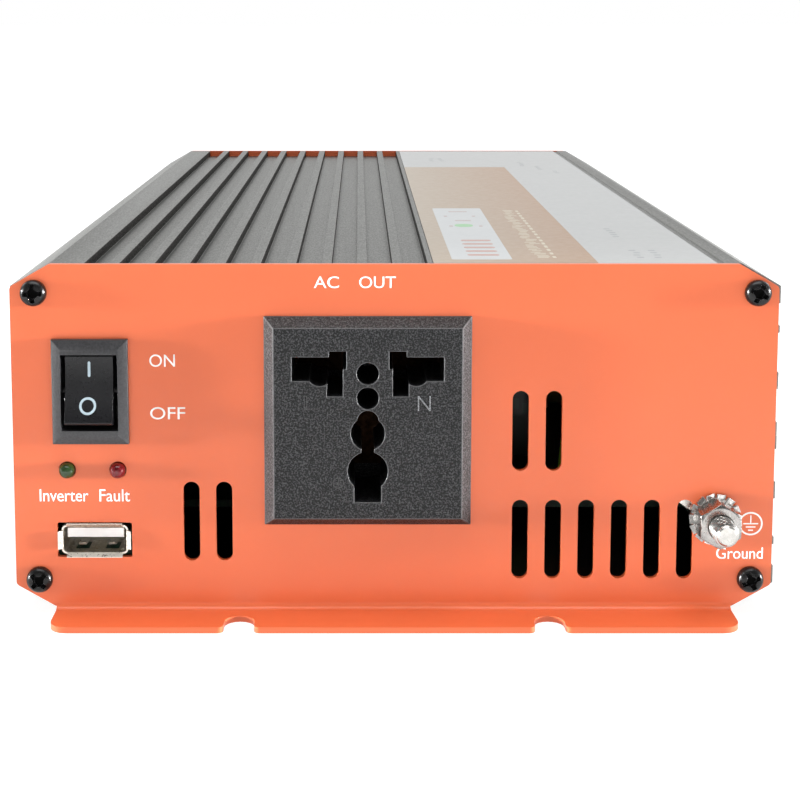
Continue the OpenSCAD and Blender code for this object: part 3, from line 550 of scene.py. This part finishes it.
def make_label():
    soften("top_label", printed_film("label_white", (0.34, 0.35, 0.35)), 0.05 * MM)
    length = ORANGE_LENGTH * (LABEL_HIGH.y - LABEL_LOW.y)
    patches("label_orange_field", [(0, 0, ORANGE_WIDTH / MM, length / MM, 0.3)], sunset_film(), 1)
    patches("label_white_box", [(3.9, 4.8, 16, 91, 0.8)],
            printed_film("label_box", (0.41, 0.43, 0.44)), 2)
    bars = [(7.4, 9.8 + BAR_PITCH * i, 13.9, 12.1 + BAR_PITCH * i, 0.8) for i in range(5)]
    patches("label_red_bars", bars, printed_film("label_red", (0.38, 0.20, 0.16)), 3)
    patches("label_green_dots", [(7.6, 54.6, 11.8, 60, 2)],
            printed_film("label_green", (0.18, 0.42, 0.19)), 3)
    marks = [(7.6, 83, 12.2, 84.8, 0.3), (8.2, 65.4, 12, 67, 0.3), (6, 73.7, 6.8, 75.7, 0.3),
             (12.8, 73.7, 13.6, 75.7, 0.3), (6.3, 55.2, 7.1, 57.2, 0.3), (13.2, 55.2, 14, 57.2, 0.3)]
    patches("label_box_marks", marks, printed_film("label_rose", (0.34, 0.26, 0.25)), 3)
    draw = random.Random(5)
    patches("label_cream_strokes", cream_strokes(draw),
            printed_film("label_cream", (0.46, 0.41, 0.30)), 2)
    patches("label_grey_strokes", grey_strokes(draw),
            printed_film("label_grey", (0.22, 0.235, 0.25)), 1)


def cream_strokes(draw):
    """Stand-in for a line of print along the label: groups of three strokes, each over a short rule."""
    strokes = []
    for i in range(17):
        start = 6.8 + 4.8 * i
        for k in range(3):
            low = 20.5 + draw.uniform(0, 1.2)
            y = start + 1.35 * k
            strokes.append((low, y, low + draw.uniform(1.7, 2.5), y + 0.75, 0.3))
        strokes.append((24.4, start, 25.1, start + draw.uniform(2.4, 3.4), 0.3))
    return strokes


def grey_strokes(draw):
    """Stand-in for small print: short columns of marks, each at (x, y) with a number of marks."""
    strokes = []
    for x, y, count in ((41, 7, 4), (44.5, 7, 4), (41, 38, 5), (9, 226, 4), (12, 226, 4), (38, 208, 5),
                        (42, 196, 4), (46, 184, 3)):
        for i in range(count):
            left, low = x + draw.uniform(0, 0.8), y + 3.2 * i
            strokes.append((left, low, left + 1.4, low + 1.3, 0.3))
    return strokes


# ---------- The front panel ----------

SCREW_HEAD = 2.6 * MM  # radius
CROSS = 0.76 * SCREW_HEAD  # how far the cross reaches from the middle
RECESS_FROM, RECESS_TO = 0.4 * MM, 1.6 * MM  # depths below the top of the head


def paint_groove_shade(shell, dark):
    """Paints shade on the upright sides of the cooling grooves in the top face: they get their own,
    near-black material, a painted shadow beside each rib.
    """
    shell.data.materials.append(dark)
    for face in shell.data.polygons:
        place = face.center
        if abs(face.normal.x) > UPRIGHT and place.z > GROOVE_FLOOR and abs(place.x) < GROOVES_END:
            face.material_index = 1


def paint_recess_shade(screws, node):
    """Paints shade into the screws' crosses: their insides get a dull black, darker than the head's own
    black, that stands in for the shade in the recess.
    """
    # Dull black darker than the screw's own: painted shade inside the cross.
    recess_shade = moulded("recess_painted_shade", (0.002, 0.002, 0.002), 0.8, 0.3 * MM, 0.01 * MM,
                   Specular_IOR_Level=0.1)
    screws.data.materials.append(recess_shade)
    low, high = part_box(node)
    centre, side = (low + high) / 2, -1 if node == "front_screws" else 1
    outer = low.y if side < 0 else high.y
    reach = (high - low) / 2 - Vector((1, 0, 1)) * SCREW_HEAD
    for face in screws.data.polygons:
        place = face.center - centre
        radius = math.hypot(abs(place.x) - reach.x, abs(place.z) - reach.z)
        depth = (outer - face.center.y) * side
        if radius < CROSS and RECESS_FROM < depth < RECESS_TO:
            face.material_index = 1


def make_case():
    paint, metal = painted_steel(), anodised()
    screw_black = moulded("screw_black", (0.004, 0.004, 0.004), 0.24, 0.3 * MM, 0.008 * MM,
                          Specular_IOR_Level=0.3)
    # The grooves' upright sides get a near-black material: painted shade beside each rib.
    paint_groove_shade(soften("top_shell", metal, 0.12 * MM),
                   anodised("groove_side_painted_shade", (0.022, 0.02, 0.018), 0.6))
    soften("bottom_shell", metal, 0.15 * MM)
    # The paler paint on the panels' rounded edges is a painted highlight along their rims and slot
    # edges.
    edge = painted_steel("paint_edge_highlight", (0.7, 0.16, 0.07), 0.3)
    highlight_edges(soften("front_panel", paint, 0.25 * MM, 3), edge)
    highlight_edges(soften("rear_panel", paint, 0.22 * MM), edge)
    # Light grey on the screws' rounded edges: a painted highlight along the heads and their crosses.
    screw_highlight = plated("screw_edge_highlight", (0.3, 0.3, 0.31), 0.25)
    for node in ("front_screws", "rear_screws"):
        screws = soften(node, screw_black, 0.12 * MM)
        # The insides of the crosses get a darker black: painted shade in the recesses.
        paint_recess_shade(screws, node)
        highlight_edges(screws, screw_highlight)


def make_print():
    ink = moulded("white_ink", (0.86, 0.85, 0.83), 0.5, 0.4 * MM, 0.002 * MM)
    panel = Vector((0, 0, 0))
    # name, words, what the places are measured from, left, right, low, high in mm, weight
    for name, words, origin, left, right, low, high, weight in (
            ("print_on", "ON", SWITCH, 11.65, 16.7, 4.85, 7.35, THIN),
            ("print_off", "OFF", SWITCH, 11.65, 18.6, -5.75, -3.25, THIN),
            ("print_ac", "AC", panel, -16.05, -11.1, 66.25, 68.6, THIN),
            ("print_out", "OUT", panel, -7.15, 0.0, 66.25, 68.6, THIN),
            ("print_inverter", "Inverter", panel, -70.7, -61.0, 23.25, 25.75, BOLD),
            ("print_fault", "Fault", panel, -58.8, -52.75, 23.25, 25.75, BOLD),
            ("print_ground", "Ground", panel, 64.2, 73.5, 11.45, 13.85, BOLD)):
        lettering(name, words, origin.x + left * MM, origin.x + right * MM, origin.z + low * MM,
                  origin.z + high * MM, ink, weight)
    make_earth_sign("print_earth_sign", ink, 70.9 * MM, 18.7 * MM, 2.4 * MM, FRONT)


# The stem and the bars: height of the middle, half the width and half the height, in radii
EARTH_BARS = ((0.35, 0.045, 0.36), (0, 0.62, 0.05), (-0.28, 0.4, 0.05), (-0.56, 0.2, 0.05))
EARTH_RING = 0.86  # inner radius, in radii


def make_earth_sign(name, ink, x, z, radius, face):
    """Circle with the earth sign: a stem and three shorter and shorter bars."""
    def level(*place):
        return face

    bm = bmesh.new()
    strip(bm, circle(x, z, radius * EARTH_RING), circle(x, z, radius), level, closed=True)
    for up, half_w, half_h in EARTH_BARS:
        low, high = z + radius * (up - half_h), z + radius * (up + half_h)
        left, right = x - radius * half_w, x + radius * half_w
        strip(bm, [(left, low), (left, high)], [(right, low), (right, high)], level)
    finish(new_piece(name, bm), ink)


BAR_LENGTH = 3.1 * MM
BAR_HALF = 0.27 * MM  # half the width
BAR_UP = 4.7 * MM  # middle of the I above the switch's
RING_AT = (-0.2 * MM, -2.4 * MM)  # middle of the O from the switch's
RING_INNER, RING_OUTER = 1.2 * MM, 1.66 * MM


def bar_width(t):
    """Half the width of the rocker's I at height t, with round ends."""
    past = abs(t) - (BAR_LENGTH / 2 - BAR_HALF)
    if past <= 0:
        return BAR_HALF
    return math.sqrt(max(BAR_HALF ** 2 - past ** 2, (0.2 * BAR_HALF) ** 2))


def make_switch():
    satin = moulded("black_satin", (0.018, 0.018, 0.02), 0.42, 0.4 * MM, 0.03 * MM, 0.4,
                    Coat_Weight=0.2, Coat_Roughness=0.35)
    gloss = moulded("black_gloss", (0.005, 0.005, 0.006), 0.3, 0.5 * MM, 0.006 * MM, 0.08,
                    Specular_IOR_Level=0.32)
    soften("switch_housing", satin, 0.2 * MM, 3)
    soften("switch_rocker", gloss, 0.15 * MM, 3)
    ink = moulded("rocker_ink", (0.36, 0.45, 0.50), 0.5, 0.4 * MM, 0.002 * MM)
    level = front_of("switch_rocker")
    x, z = middle("switch_rocker").x, SWITCH.z
    bar = bmesh.new()
    rows = steps(-BAR_LENGTH / 2, BAR_LENGTH / 2, 24)
    left, right = ([(x + side * bar_width(t), z + BAR_UP + t) for t in rows] for side in (-1, 1))
    strip(bar, left, right, level)
    finish(new_piece("rocker_mark_on", bar), ink, "rocker")
    ring = bmesh.new()
    centre = (x + RING_AT[0], z + RING_AT[1])
    strip(ring, circle(*centre, RING_INNER), circle(*centre, RING_OUTER), level, closed=True)
    finish(new_piece("rocker_mark_off", ring), ink, "rocker")


RAISED_LINE = 0.012  # radius of the outline of the outlet's raised letters, before they are fitted


def make_socket():
    grain = speckled("black_grain", (0.002, 0.002, 0.0022), (0.055, 0.056, 0.059), 0.33 * MM)
    # Lighter grey on the plate's rounded edges: a painted highlight along the rims of the apertures and
    # the plate.
    highlight_edges(soften("socket_plate", grain, 0.2 * MM, 3),
               moulded("plastic_edge_highlight", (0.05, 0.051, 0.053), 0.4, 0.3 * MM, 0.02 * MM, 0.4))
    dress(grain, "socket_rear_cover")
    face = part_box("socket_plate")[0].y
    x, z = SOCKET.x, SOCKET.z
    # The raised N, L and earth sign are the plate's black plastic; their lighter greys are a painted
    # highlight on the ridges, fainter on the L and the earth sign.
    ridge = moulded("ridge_painted_highlight", (0.24, 0.25, 0.26), 0.4, 0.3 * MM, 0.02 * MM, 0.4)
    faint = moulded("faint_ridge_highlight", (0.03, 0.03, 0.031), 0.4, 0.3 * MM, 0.02 * MM, 0.4)
    lettering("socket_mark_n", "N", x + 9.8 * MM, x + 12.3 * MM, z + 2.7 * MM, z + 5.7 * MM, ridge,
              -0.03, face, RAISED_LINE)
    lettering("socket_mark_l", "L", x - 12.5 * MM, x - 10.3 * MM, z + 2.9 * MM, z + 5.7 * MM, faint,
              0, face, RAISED_LINE)
    make_earth_sign("socket_mark_earth", faint, x - 5.8 * MM, z - 11.8 * MM, 1.1 * MM, face)


def make_small_parts():
    dress(plated("bright_steel", (0.60, 0.58, 0.54), 0.26), "ground_ring_terminal", "fan_guard",
          "fan_screws", "fan_nuts", "terminal_nuts", "clamp_screws")
    dress(plated("tinned_steel", (0.68, 0.63, 0.55), 0.3), "usb_shell")
    dress(plated("brass", (0.78, 0.58, 0.26), 0.3), "switch_terminals", "usb_contacts", "terminal_studs",
          "terminal_washer_red", "terminal_washer_black")
    # The socket's brass contacts are made nearly black: painted shade inside the socket's holes.
    dress(plated("contact_brass_painted_shade", (0.035, 0.018, 0.01), 0.6), "socket_contacts")
    dress(plated("copper", (0.72, 0.36, 0.2), 0.34), "fan_stator", "choke_winding", "dc_busbars")
    dress(lens("green_lens", (0.016, 0.045, 0.01)), "led_green")
    dress(lens("red_lens", (0.13, 0.003, 0.007)), "led_red")
    dress(moulded("white_plastic", (0.93, 0.92, 0.89), 0.4, 0.5 * MM, 0.004 * MM), "usb_tongue",
          "board_spacers", "transformer_bobbins")
    dress(circuit_board(), "led_board", "usb_board", "main_board", "control_board")
    soften("ground_nut", plated("nut_steel", (0.36, 0.35, 0.335), 0.22), 0.12 * MM)
    soften("ground_washer", plated("zinc_plate", (0.62, 0.61, 0.59), 0.22), 0.1 * MM)
    make_ground_stud(plated("stud_steel", (0.50, 0.49, 0.465), 0.2))


STUD_HEAD = 3.6 * MM  # length of the head behind the panel
STUD_FLATS = 8 * MM  # width of the head across its flats
STUD_CREST = 2.45 * MM  # radius over the thread
STUD_TIP = 1.7 * MM  # radius of the flat tip
STUD_CHAMFER = 0.35 * MM  # height of the chamfer round the tip
STUD_TAPER = 0.45  # growth of the radius behind the chamfer, per metre of length
STUD_PITCH = 0.8 * MM
THREAD_DEPTH = 0.46 * MM
THREAD_FLANK, THREAD_LAND = 2.6, 0.15  # steepness of the flanks and flatness of the crests
SLICE = 0.06 * MM  # thickness of the slices that the thread is made of


def rod(bm, x, z, start, end, radius_at, around=48, slice_length=SLICE):
    """Adds a closed bar along y; radius_at takes the distance from its end and a turn from 0 to 1."""
    length = abs(end - start)
    rings = []
    for s in steps(0, length, math.ceil(length / slice_length)):
        y = start + (end - start) * s / length
        ring = []
        for k in range(around):
            radius, angle = radius_at(length - s, k / around), 2 * math.pi * k / around
            ring.append(bm.verts.new((x + radius * math.cos(angle), y, z + radius * math.sin(angle))))
        rings.append(ring)
    for one, two in zip(rings, rings[1:]):
        for k in range(around):
            j = (k + 1) % around
            bm.faces.new((one[k], one[j], two[j], two[k]))
    bm.faces.new(rings[0])
    bm.faces.new(rings[-1][::-1])
    bmesh.ops.recalc_face_normals(bm, faces=bm.faces)


def stud_radius(to_end, turn):
    """Threaded bar that narrows over its last turns to a flat tip."""
    crest = min(STUD_CREST, STUD_TIP + STUD_CHAMFER + to_end * STUD_TAPER, STUD_TIP + to_end)
    root = STUD_CREST - THREAD_DEPTH
    phase = (to_end / STUD_PITCH + turn) % 1
    cut = min(1, max(0, THREAD_FLANK * abs(phase - 0.5) - THREAD_LAND))  # 1 in the root
    return crest - cut * max(0, crest - root)


def make_ground_stud(steel):
    """A threaded bar with a hexagonal head, in place of the plain one."""
    low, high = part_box("ground_stud")
    bm = bmesh.new()
    gap = 0.1 * MM  # keeps the bar's end face off the head's
    rod(bm, STUD.x, STUD.z, high.y - STUD_HEAD - gap, low.y, stud_radius)
    corner = STUD_FLATS / 2 / math.cos(math.pi / 6)
    rod(bm, STUD.x, STUD.z, high.y, high.y - STUD_HEAD, lambda to_end, turn: corner, 6, STUD_HEAD)
    piece = new_piece("ground_stud_threaded", bm)
    smooth(piece, 30)
    finish(piece, steel)
    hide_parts("ground_stud")


def make_rear():
    black = moulded("black_plastic", (0.02, 0.02, 0.022), 0.42, 0.35 * MM, 0.008 * MM)
    red = moulded("red_plastic", (0.50, 0.015, 0.015), 0.3, 0.5 * MM, 0.006 * MM, Coat_Weight=0.3)
    knob_black = moulded("black_knob", (0.018, 0.018, 0.018), 0.3, 0.5 * MM, 0.006 * MM,
                         Coat_Weight=0.3)
    for node in ("fan_frame", "fan_rotor"):
        soften(node, black, 0.2 * MM)
    for node in ("terminal_base_red", "terminal_knob_red"):
        soften(node, red, 0.25 * MM)
    for node in ("terminal_base_black", "terminal_knob_black"):
        soften(node, knob_black, 0.25 * MM)
    dress(black, "power_transistors", "fuse_holders", "control_chips", "buzzer")


def make_inside():
    dress(moulded("ferrite", (0.06, 0.06, 0.065), 0.6, 0.3 * MM, 0.01 * MM), "transformer_cores")
    dress(moulded("powdered_iron", (0.45, 0.4, 0.14), 0.55, 0.4 * MM, 0.01 * MM), "choke_core")
    dress(coil_of("winding_tape", (0.75, 0.5, 0.06), 1.8 * MM), "transformer_windings")
    dress(moulded("capacitor_sleeve", (0.02, 0.03, 0.1), 0.28, 1.2 * MM, 0.006 * MM, Coat_Weight=0.4),
          "input_capacitors", "output_capacitors")
    dress(moulded("insulating_sheet", (0.5, 0.52, 0.54), 0.7, 0.5 * MM, 0.01 * MM), "insulating_strips")
    dress(plated("plain_aluminium", (0.7, 0.71, 0.72), 0.4), "clamp_bars")
    dress(moulded("fuse_body", (0.06, 0.45, 0.14), 0.25, 1 * MM, 0.004 * MM, Coat_Weight=0.3), "fuses")
    for node, colour in (("socket_wires", (0.16, 0.05, 0.025)), ("switch_wires", (0.7, 0.18, 0.03)),
                         ("ground_wire", (0.28, 0.55, 0.04))):
        dress(moulded(node + "_sleeve", colour, 0.45, 0.6 * MM, 0.006 * MM), node)


make_camera()
make_studio()
make_case()
make_label()
make_print()
make_switch()
make_socket()
make_small_parts()
make_rear()
make_inside()
